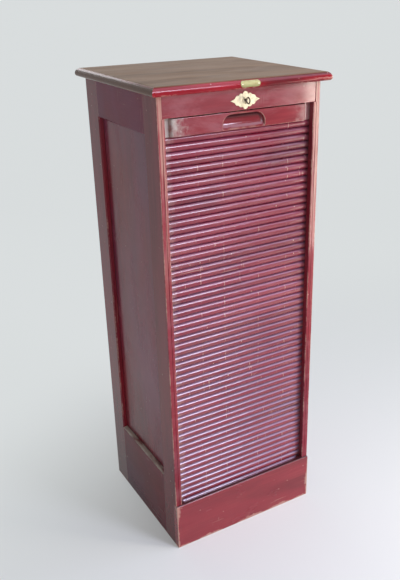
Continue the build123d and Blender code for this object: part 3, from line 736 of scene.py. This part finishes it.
class CABINET_OT_back_frame(bpy.types.Operator):
    """Finishes the rails and panels of the back"""

    bl_idname = "cabinet.back_frame"
    bl_label = "Back Frame"

    def execute(self, context):
        rails = Finish("case", polished=0.32, dull=0.48, coat=0.1, wear=0.5, dust=0.5)
        panels = Finish("case", polished=0.36, dull=0.52, coat=0.05, streaks=0.5)
        left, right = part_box("left_rear_stile")[1].x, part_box("right_rear_stile")[0].x
        for node in ("back_bottom_rail", "back_mid_rail", "back_top_rail"):
            finish_board(node, "X", rails, "+X -X -Y")
        for panel, below, above in (("lower", "bottom", "mid"), ("upper", "mid", "top")):
            foot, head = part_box(f"back_{below}_rail")[1].z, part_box(f"back_{above}_rail")[0].z
            finish_board(f"back_{panel}_panel", "Z", panels, opening=((left, -1.0, foot), (right, 1.0, head)))
        return {"FINISHED"}


class CABINET_OT_inside_boards(bpy.types.Operator):
    """Finishes the shelves, cleats and boards inside"""

    bl_idname = "cabinet.inside_boards"
    bl_label = "Inside Boards"

    def execute(self, context):
        plain = Finish("inside", coat=0.0, streaks=0.5)
        boards = replace(plain, polished=0.40, dull=0.55, wear=0.5, dust=0.15, marks=0.4)
        rough = replace(plain, polished=0.55, dull=0.70, wear=0.3, dust=0.1, marks=0.3)
        for node in ("bottom_board", "shelf_1", "shelf_2", "shelf_3", "shelf_4", "shelf_5"):
            finish_board(node, "X", boards, "+X -X +Y")
        finish_board("false_back", "Z", boards)
        for node in ("bottom_cleats", "shelf_cleats", "corner_blocks"):
            finish_board(node, "Y", rough, "+X -X +Z -Z")
        finish_board("plinth_blocks", "X", rough)
        return {"FINISHED"}


class CABINET_OT_lead_rail(bpy.types.Operator):
    """Finishes the lead rail with its finger pull"""

    bl_idname = "cabinet.lead_rail"
    bl_label = "Lead Rail"

    def execute(self, context):
        gloss = Finish("case", polished=0.08, dull=0.16, coat=0.8, shine=0.08)
        # The lead rail's pale veil in front is a painted reflection.
        look = replace(gloss, wear=0.4, width=0.0022, marks=0.6, sheen=0.12)
        wood = Wood("lead rail wood", "X", look)
        wood.sheen()
        # The lead rail's left end is paler by a painted highlight.
        wood.rub_and_light_ends(lead_high.x, sizes().rubbed_rail_end, 0.95)
        wood.mark()
        wood.rub(*board_ends("lead_rail", "+X -X +Y"))
        rim, hollow, head = self.pull(wood)
        # Painted shade: the hollow is darker, and the head under the rim darker still.
        wood.cover(hollow, 0.8, paint("top_dark"), 0.0)
        wood.cover(head, 0.97, paint("dirt_and_shade"))
        # The rim is worn, and also a painted highlight along its eased edge.
        wood.cover(rim, 0.55, paint("bare_wood_and_highlight"))
        wood.vary_coat(head, outside=look.coat, inside=0.0)
        dress("lead_rail", wood.done())
        return {"FINISHED"}

    def pull(self, wood):
        """Masks for the finger pull's rim, its hollow and the head of the hollow, where shade is painted.

        The outline has large round corners above and small ones below."""
        size, tree = sizes(), wood.tree
        x, y, z = apart(tree, wood.here)
        middle = lead_low.z + size.pull_foot + size.pull_height / 2
        small, large = size.pull_height * 0.1, size.pull_height * 0.75
        above = maths(tree, "GREATER_THAN", z, middle)
        corner = maths(tree, "MULTIPLY_ADD", above, large - small, small)
        half_width = maths(tree, "SUBTRACT", size.pull_width / 2, corner)
        half_height = maths(tree, "SUBTRACT", size.pull_height / 2, corner)
        far_x = maths(tree, "SUBTRACT", between(tree, x, size.pull_middle), half_width)
        far_z = maths(tree, "SUBTRACT", between(tree, z, middle), half_height)
        past = {0: maths(tree, "MAXIMUM", far_x, 0.0), 1: maths(tree, "MAXIMUM", far_z, 0.0)}
        outside = span(tree, put(tree, "ShaderNodeCombineXYZ", past).outputs[0])
        inside = maths(tree, "MINIMUM", maths(tree, "MAXIMUM", far_x, far_z), 0.0)
        away = maths(tree, "SUBTRACT", maths(tree, "ADD", outside, inside), corner)
        line = fall(tree, maths(tree, "ABSOLUTE", away), 0.0006, 0.0022)
        worn = wood.patches((45.0, 45.0, 45.0), (0.34, 0.62), detail=3.0)
        shallow = fall(tree, y, lead_low.y + 0.0015, lead_low.y + 0.004)
        rim = times(tree, times(tree, line, worn), shallow)
        hollow = fall(tree, away, -0.002, -0.0005)
        high = rise(tree, z, middle, middle + size.pull_height * 0.40)
        return rim, hollow, times(tree, hollow, high)


def slat_section():
    """Points round a slat from its lower back edge to its upper one, and how near each is to the crown."""
    size = sizes()
    half = (size.slat_pitch - size.slat_gap) / 2
    crown = slats_high.y - slats_low.y - size.slat_edge
    radius = (half * half + crown * crown) / (2 * crown)
    reach = math.asin(half / radius)
    points = [(slats_high.y, -half, 0.0)]
    steps = 14
    for step in range(steps + 1):
        turn = reach * (2 * step / steps - 1)
        y = slats_low.y + radius * (1 - math.cos(turn))
        points.append((y, radius * math.sin(turn), math.cos(math.pi / 2 * turn / reach)))
    points.append((slats_high.y, half, 0.0))
    return points


def new_piece(name, verts, faces, soft_angle):
    """A mesh object that keeps each point's place at rest for its patterns."""
    mesh = bpy.data.meshes.new(name)
    mesh.from_pydata(verts, [], faces)
    rest = mesh.attributes.new("rest", "FLOAT_VECTOR", "POINT")
    rest.data.foreach_set("vector", [number for vert in verts for number in vert])
    mesh.shade_smooth()
    mesh.set_sharp_from_angle(angle=math.radians(soft_angle))
    return add_object(name, mesh)


def follow_shutter(obj):
    """Gives a piece of the shutter a mesh of its own."""
    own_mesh(obj)


class CABINET_OT_slats(bpy.types.Operator):
    """Makes the shutter's slats"""

    bl_idname = "cabinet.slats"
    bl_label = "Slats"

    def execute(self, context):
        size = sizes()
        count = round((slats_high.z - slats_low.z) / size.slat_pitch)
        section = slat_section()
        wide = len(section)
        stations = 30
        narrowing = 0.012
        chance = random.Random(11)
        verts, faces, crowns, tones = [], [], [], []
        for index in range(count):
            middle = lead_low.z - size.slat_pitch * (index + 0.5)
            tone = chance.random()
            waves = [(chance.uniform(0.3, 1.0), chance.uniform(0.0, 6.3)) for _ in range(3)]
            start = len(verts)
            for station in range(stations + 1):
                x = slats_high.x * (2 * station / stations - 1)
                wander = 1 + self.bow(waves, x)
                for y, z, crown in section:
                    sink = size.slat_wander * wander * crown
                    verts.append((x, y + sink, middle + z * (1 - narrowing * crown * wander)))
                    crowns.append(crown)
                    tones.append(tone)
            for station in range(stations):
                for point in range(wide):
                    here = start + station * wide + point
                    there = start + station * wide + (point + 1) % wide
                    faces.append((here, here + wide, there + wide, there))
            faces.append(tuple(range(start, start + wide)))
            last = start + stations * wide
            faces.append(tuple(reversed(range(last, last + wide))))
        obj = new_piece("shutter_slats", verts, faces, 50.0)
        for label, values in (("crown", crowns), ("tone", tones)):
            obj.data.attributes.new(label, "FLOAT", "POINT").data.foreach_set("value", values)
        obj.data.materials.append(self.varnish())
        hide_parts("tambour_slats")
        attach(obj, "case")
        follow_shutter(obj)
        return {"FINISHED"}

    def bow(self, waves, x):
        """How a slat's line swings at x, from -1 to 1, with one wave for each pair of height and phase."""
        rate = 9.0
        swings = [high * math.sin(phase + x * rate * (n + 1)) for n, (high, phase) in enumerate(waves)]
        return sum(swings) / len(swings)

    def varnish(self):
        """Each slat has its own tone, dirt and painted shade in the valleys, dust and a painted lavender
        highlight above and a rubbed crown.
        """
        look = Finish("slat", polished=0.14, dull=0.26, marks=1.0, dust=0.10, smoke_and_shade=0.4)
        wood = Wood("slat wood", "X", look, rest="rest")
        tree = wood.tree
        crown = kept(tree, "crown")["Fac"]
        tone = kept(tree, "tone")["Fac"]
        wood.cover(rise(tree, tone, 0.35, 1.0), 0.25, paint("slat_light"), 0.0)
        wood.cover(fall(tree, tone, 0.0, 0.25), 0.45, paint("slat_dark"), 0.0)
        wood.smoke_and_shade()
        # The slats' left ends are paler by a painted highlight.
        wood.rub_and_light_ends(slats_high.x, sizes().rubbed_slat_end, 0.25)
        # Dust with a painted lavender highlight on the faces that look up.
        wood.dust(0.10, "slat_dust_and_sheen")
        # A painted lavender highlight on the lower slats' faces that look up.
        low = fall(tree, apart(tree, wood.here)[2], slats_low.z, slats_high.z)
        wood.cover(times(tree, low, wood.upward(0.45, 0.75)), 0.42, paint("slat_dust_and_sheen"), 0.02)
        wood.mark()
        worn = wood.patches((5.0, 1.0, 4.0), (0.42, 0.68), detail=3.0, roughness=0.6)
        wood.cover(times(tree, rise(tree, crown, 0.90, 1.0), worn), 0.12, paint("bare_wood_and_highlight"))
        wood.cover(self.ticks(wood, crown), 0.35, paint("bare_wood_and_highlight"))
        # Dirt and painted shade in the valleys between slats, darker towards the foot.
        valley_dirt_and_shade = maths(tree, "MULTIPLY_ADD", low, 0.5, 0.08)
        wood.cover(times(tree, fall(tree, crown, 0.0, 0.30), valley_dirt_and_shade), 1.0, paint("dirt_and_shade"))
        wood.vary_coat(low, outside=0.15, inside=0.6)
        return wood.done()

    def ticks(self, wood, crown):
        """Short pale upright marks in a few columns."""
        tree = wood.tree
        x = apart(tree, wood.here)[0]
        nearest = 1.0
        for column in (-0.104, -0.043, 0.050, 0.127):
            nearest = maths(tree, "MINIMUM", nearest, between(tree, x, column))
        here_and_there = wood.patches((8.0, 8.0, 55.0), (0.50, 0.66), roughness=0.6)
        mask = times(tree, fall(tree, nearest, 0.0005, 0.0014), here_and_there)
        return times(tree, mask, rise(tree, crown, 0.25, 0.6))


class CABINET_OT_canvas(bpy.types.Operator):
    """Makes the canvas that the slats are glued to"""

    bl_idname = "cabinet.canvas"
    bl_label = "Canvas"

    def execute(self, context):
        size = sizes()
        columns, rows = 24, 114
        low, high = canvas_low, canvas_high
        verts, faces = [], []
        for y, hollow in ((high.y, size.canvas_dip), (low.y, 0.0)):
            for row in range(rows + 1):
                z = low.z + (high.z - low.z) * row / rows
                sink = hollow * abs(math.sin(math.pi * (lead_low.z - z) / size.slat_pitch))
                for column in range(columns + 1):
                    x = low.x + (high.x - low.x) * column / columns
                    verts.append((x, y - sink, z))
        wide = columns + 1
        back = wide * (rows + 1)
        for row in range(rows):
            for column in range(columns):
                here = row * wide + column
                faces.append((here, here + wide, here + wide + 1, here + 1))
                here += back
                faces.append((here, here + 1, here + wide + 1, here + wide))
        rim = list(range(wide))
        rim += [row * wide + columns for row in range(1, rows + 1)]
        rim += [rows * wide + column for column in range(columns - 1, -1, -1)]
        rim += [row * wide for row in range(rows - 1, 0, -1)]
        for here, there in zip(rim, rim[1:] + rim[:1]):
            faces.append((here, there, there + back, here + back))
        obj = new_piece("shutter_canvas", verts, faces, 60.0)
        obj.data.materials.append(self.weave())
        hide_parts("canvas_backing")
        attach(obj, "case")
        follow_shutter(obj)
        return {"FINISHED"}

    def weave(self):
        """A plain weave with glue showing through."""
        material, tree, shader = new_material("canvas weave")
        here = kept(tree, "rest")["Vector"]
        rate = 2 * math.pi / sizes().weave
        x, _, z = apart(tree, here)
        warp = maths(tree, "SINE", times(tree, x, rate))
        weft = maths(tree, "SINE", times(tree, z, rate))
        weave = times(tree, warp, weft)
        slub = patches(tree, here, (30.0, 30.0, 600.0), (0.35, 0.75))
        glue = patches(tree, here, (18.0, 18.0, 50.0), (0.55, 0.72), detail=3.0)
        shade = tint(tree, rise(tree, weave, -0.9, 0.5), paint("canvas_dark"), paint("canvas"))
        shade = tint(tree, times(tree, slub, 0.25), shade, paint("canvas_slub"))
        shade = tint(tree, times(tree, glue, 0.5), shade, paint("canvas_dark"))
        rough = maths(tree, "MULTIPLY_ADD", glue, -0.2, 0.95)
        threads = bump(tree, weave, 0.6, 0.0003)
        fill(tree, shader, {"Base Color": shade, "Roughness": rough, "Normal": threads})
        return material


def metal(name, clean, stained, stain, dullness=0.4):
    """Old metal with its stains, dents and brushing."""
    material, tree, shader = new_material(name)
    links = {"Clean": paint(clean), "Stained": paint(stained), "Stain": stain, "Dullness": dullness}
    look = place(tree, "Old metal", {"Vector": own_place(tree), **links})
    dents = bump(tree, look["Height"], 0.5, 0.0005)
    shading = {"Base Color": look["Color"], "Roughness": look["Roughness"], "Normal": dents, "Metallic": 1.0}
    fill(tree, shader, shading)
    return material


class CABINET_OT_brass(bpy.types.Operator):
    """Finishes the keyhole plate, the label plate, the strike plate and their pins"""

    bl_idname = "cabinet.brass"
    bl_label = "Brass Plates and Pins"

    def execute(self, context):
        dress("escutcheon", metal("polished brass", "brass", "tarnish", 0.5))
        dress("label_plate", metal("dull brass", "dull_brass", "tarnish", 0.4, dullness=0.6))
        aged = metal("aged brass", "brass", "tarnish", 0.7)
        for node in ("escutcheon_pins", "label_pins", "strike_plate", "strike_pins"):
            dress(node, aged)
        return {"FINISHED"}


class CABINET_OT_lock(bpy.types.Operator):
    """Finishes the lock, its bolt, the key and the screws"""

    bl_idname = "cabinet.lock"
    bl_label = "Lock, Key and Screws"

    def execute(self, context):
        dress("lock_bolt", metal("worn steel", "steel", "steel_dark", 0.5))
        dress("key", metal("dark steel", "steel_dark", "dirt_and_shade", 0.9))
        brown = metal("browned steel", "steel", "steel_dark", 0.9)
        for node in ("lock_case", "lock_screws", "cleat_screws", "corner_block_screws", "back_screws"):
            dress(node, brown)
        return {"FINISHED"}


@dataclass
class Lamp:
    """A soft rectangular light: its place, the point that it looks at, its two sides and its colour."""

    place: tuple
    aim: tuple
    size: tuple
    shade: tuple
    mirrored: bool = True


COOL = (0.78, 0.79, 1.0)
PLAIN = (0.97, 0.97, 1.0)
WARM = (1.0, 0.92, 0.80)
LAMPS = {
    "window": Lamp((1.04, -2.28, 2.20), (0.0, -0.1, 0.90), (0.64, 0.7), COOL),
    "high": Lamp((1.00, -0.95, 2.80), (0.0, -0.1, 0.60), (1.9, 1.7), COOL),
    "low": Lamp((0.72, -2.24, 0.62), (-0.1, -0.2, 0.62), (1.0, 1.0), COOL),
    "edge": Lamp((-1.25, -2.10, 1.00), (-0.15, -0.15, 0.75), (0.10, 1.5), PLAIN),
    "side": Lamp((1.327, -1.368, 0.74), (0.1, -0.1, 0.74), (0.40, 1.2), WARM, mirrored=False),
    "strip": Lamp((1.211, -1.469, 0.74), (0.19, -0.19, 0.74), (0.12, 1.2), WARM),
    "fill": Lamp((-0.55, -2.30, 1.00), (0.0, -0.2, 0.75), (0.8, 1.0), PLAIN),
    "back": Lamp((-0.10, 2.40, 1.70), (0.0, 0.2, 0.60), (1.0, 1.0), PLAIN),
}

CAMERA_PLACE = (-0.8321, -1.5014, 1.3300)
CAMERA_HEADING = math.radians(-30.938)
CAMERA_DIP = math.radians(23.546)
CAMERA_ROLL = math.radians(-0.738)
PICTURE_HEIGHT = 580.0
PICTURE_SHIFT = (-27.8, 4.2)
BACKDROP_HEADING = math.radians(-31.0)


def seen_rays(tree):
    """1 where the camera sees a surface, also in a mirror or through glass, and 0 where it gives light."""
    path = put(tree, "ShaderNodeLightPath").outputs
    mirrored = maths(tree, "MAXIMUM", path["Is Glossy Ray"], path["Is Transmission Ray"])
    return maths(tree, "MAXIMUM", path["Is Camera Ray"], mirrored)


class CABINET_OT_stage(bpy.types.Operator):
    """Makes the floor and backdrop, the light and the camera"""

    bl_idname = "cabinet.stage"
    bl_label = "Stage, Light and Camera"

    def execute(self, context):
        stage = context.scene.cabinet_stage
        self.backdrop(stage)
        self.world(stage)
        for name, lamp in LAMPS.items():
            self.light(f"{name} light", lamp, getattr(stage, f"{name}_power"))
        self.camera(stage)
        context.scene.view_settings.view_transform = "Standard"
        return {"FINISHED"}

    def backdrop(self, stage):
        """A floor that sweeps up into a wall behind the cabinet."""
        bend, wall, front, wide, top = 0.9, 3.6, -9.0, 9.0, 2.0
        steps = 16
        line = [(front, 0.0), (wall - bend, 0.0)]
        for step in range(1, steps + 1):
            turn = math.pi / 2 * step / steps
            line.append((wall - bend + bend * math.sin(turn), bend - bend * math.cos(turn)))
        line.append((wall, top))
        verts = [(x, y, z) for x in (-wide, wide) for y, z in line]
        count = len(line)
        faces = [(i, i + count, i + count + 1, i + 1) for i in range(count - 1)]
        mesh = bpy.data.meshes.new("backdrop")
        mesh.from_pydata(verts, [], faces)
        mesh.shade_smooth()
        mesh.materials.append(self.paper(stage))
        obj = add_object("backdrop", mesh)
        obj.rotation_euler = (0.0, 0.0, BACKDROP_HEADING)

    def paper(self, stage):
        """Pale paper that looks plain behind the cabinet and far from it, and takes its shadow near it."""
        material, tree, shader = new_material("backdrop paper")
        fill(tree, shader, {"Base Color": full(stage.floor), "Roughness": 0.95, "Specular IOR Level": 0.1})
        here = own_place(tree)
        across, back, _ = apart(tree, here)
        leftward = maths(tree, "MINIMUM", across, 0.0)
        behind = rise(tree, maths(tree, "MULTIPLY_ADD", leftward, -2.0, back), -0.9, 1.9)
        far = rise(tree, span(tree, here), 1.4, 3.4)
        plain = times(tree, maths(tree, "MAXIMUM", behind, far), 0.95)
        share = times(tree, seen_rays(tree), plain)
        glow = put(tree, "ShaderNodeEmission", {"Color": full(stage.seen), "Strength": 1.0})
        both = put(tree, "ShaderNodeMixShader", {0: share, 1: shader.outputs[0], 2: glow.outputs[0]})
        end = next(node for node in tree.nodes if node.type == "OUTPUT_MATERIAL")
        tree.links.new(both.outputs[0], end.inputs["Surface"])
        return material

    def world(self, stage):
        """Even soft light from all round, which is seen in the backdrop's colour."""
        world = bpy.data.worlds.new("soft light")
        world.use_nodes = True
        tree = world.node_tree
        tree.nodes.clear()
        light = put(tree, "ShaderNodeBackground", {"Color": full(stage.sky), "Strength": stage.sky_strength})
        wall = put(tree, "ShaderNodeBackground", {"Color": full(stage.seen), "Strength": 1.0})
        mix = {0: seen_rays(tree), 1: light.outputs[0], 2: wall.outputs[0]}
        both = put(tree, "ShaderNodeMixShader", mix)
        put(tree, "ShaderNodeOutputWorld", {"Surface": both.outputs[0]})
        bpy.context.scene.world = world

    def light(self, name, lamp, power):
        """One of the lamps, which the camera does not see."""
        data = bpy.data.lights.new(name, "AREA")
        data.shape = "RECTANGLE"
        data.size, data.size_y = lamp.size
        data.energy = power
        data.color = lamp.shade
        obj = add_object(name, data)
        obj.location = lamp.place
        obj.rotation_euler = (Vector(lamp.aim) - Vector(lamp.place)).to_track_quat("-Z", "Y").to_euler()
        obj.visible_camera = False
        obj.visible_glossy = lamp.mirrored

    def camera(self, stage):
        """The viewing angle of the photograph, which is 400 by 580 pixels."""
        level = Vector((-math.sin(CAMERA_HEADING), math.cos(CAMERA_HEADING), 0.0))
        ahead = level * math.cos(CAMERA_DIP) - Vector((0.0, 0.0, math.sin(CAMERA_DIP)))
        right = ahead.cross(Vector((0.0, 0.0, 1.0))).normalized()
        above = right.cross(ahead)
        rolled_right = math.cos(CAMERA_ROLL) * right + math.sin(CAMERA_ROLL) * above
        rolled_above = math.cos(CAMERA_ROLL) * above - math.sin(CAMERA_ROLL) * right
        data = bpy.data.cameras.new("camera")
        data.sensor_width = 36.0
        data.lens = stage.lens
        data.shift_x, data.shift_y = (pixels / PICTURE_HEIGHT for pixels in PICTURE_SHIFT)
        obj = add_object("camera", data)
        turn = Matrix((rolled_right, rolled_above, -ahead)).transposed().to_4x4()
        turn.translation = CAMERA_PLACE
        obj.matrix_world = turn
        bpy.context.scene.camera = obj


STEPS = (
    CABINET_OT_top_board,
    CABINET_OT_side_frames,
    CABINET_OT_front_boards,
    CABINET_OT_back_frame,
    CABINET_OT_inside_boards,
    CABINET_OT_lead_rail,
    CABINET_OT_slats,
    CABINET_OT_canvas,
    CABINET_OT_brass,
    CABINET_OT_lock,
    CABINET_OT_stage,
)


class CABINET_PT_panel(bpy.types.Panel):
    """Lists the steps that dress the cabinet"""

    bl_idname = "CABINET_PT_panel"
    bl_label = "Tambour Filing Cabinet"
    bl_space_type = "VIEW_3D"
    bl_region_type = "UI"
    bl_category = "Cabinet"

    def draw(self, context):
        for step in STEPS:
            self.layout.operator(step.bl_idname)
        for group in ("cabinet_sizes", "cabinet_colours", "cabinet_stage"):
            values = getattr(context.scene, group)
            box = self.layout.box()
            for name in values.__annotations__:
                box.prop(values, name)


CLASSES = (CabinetSizes, CabinetColours, StageSettings, *STEPS, CABINET_PT_panel)


def register():
    for cls in CLASSES:
        bpy.utils.register_class(cls)
    bpy.types.Scene.cabinet_sizes = PointerProperty(type=CabinetSizes)
    bpy.types.Scene.cabinet_colours = PointerProperty(type=CabinetColours)
    bpy.types.Scene.cabinet_stage = PointerProperty(type=StageSettings)


def unregister():
    del bpy.types.Scene.cabinet_stage
    del bpy.types.Scene.cabinet_colours
    del bpy.types.Scene.cabinet_sizes
    for cls in reversed(CLASSES):
        bpy.utils.unregister_class(cls)


def main():
    random.seed(7)
    register()
    bpy.ops.cabinet.top_board()
    bpy.ops.cabinet.side_frames()
    bpy.ops.cabinet.front_boards()
    bpy.ops.cabinet.back_frame()
    bpy.ops.cabinet.inside_boards()
    bpy.ops.cabinet.lead_rail()
    bpy.ops.cabinet.slats()
    bpy.ops.cabinet.canvas()
    bpy.ops.cabinet.brass()
    bpy.ops.cabinet.lock()
    bpy.ops.cabinet.stage()


if __name__ == "__main__":
    main()
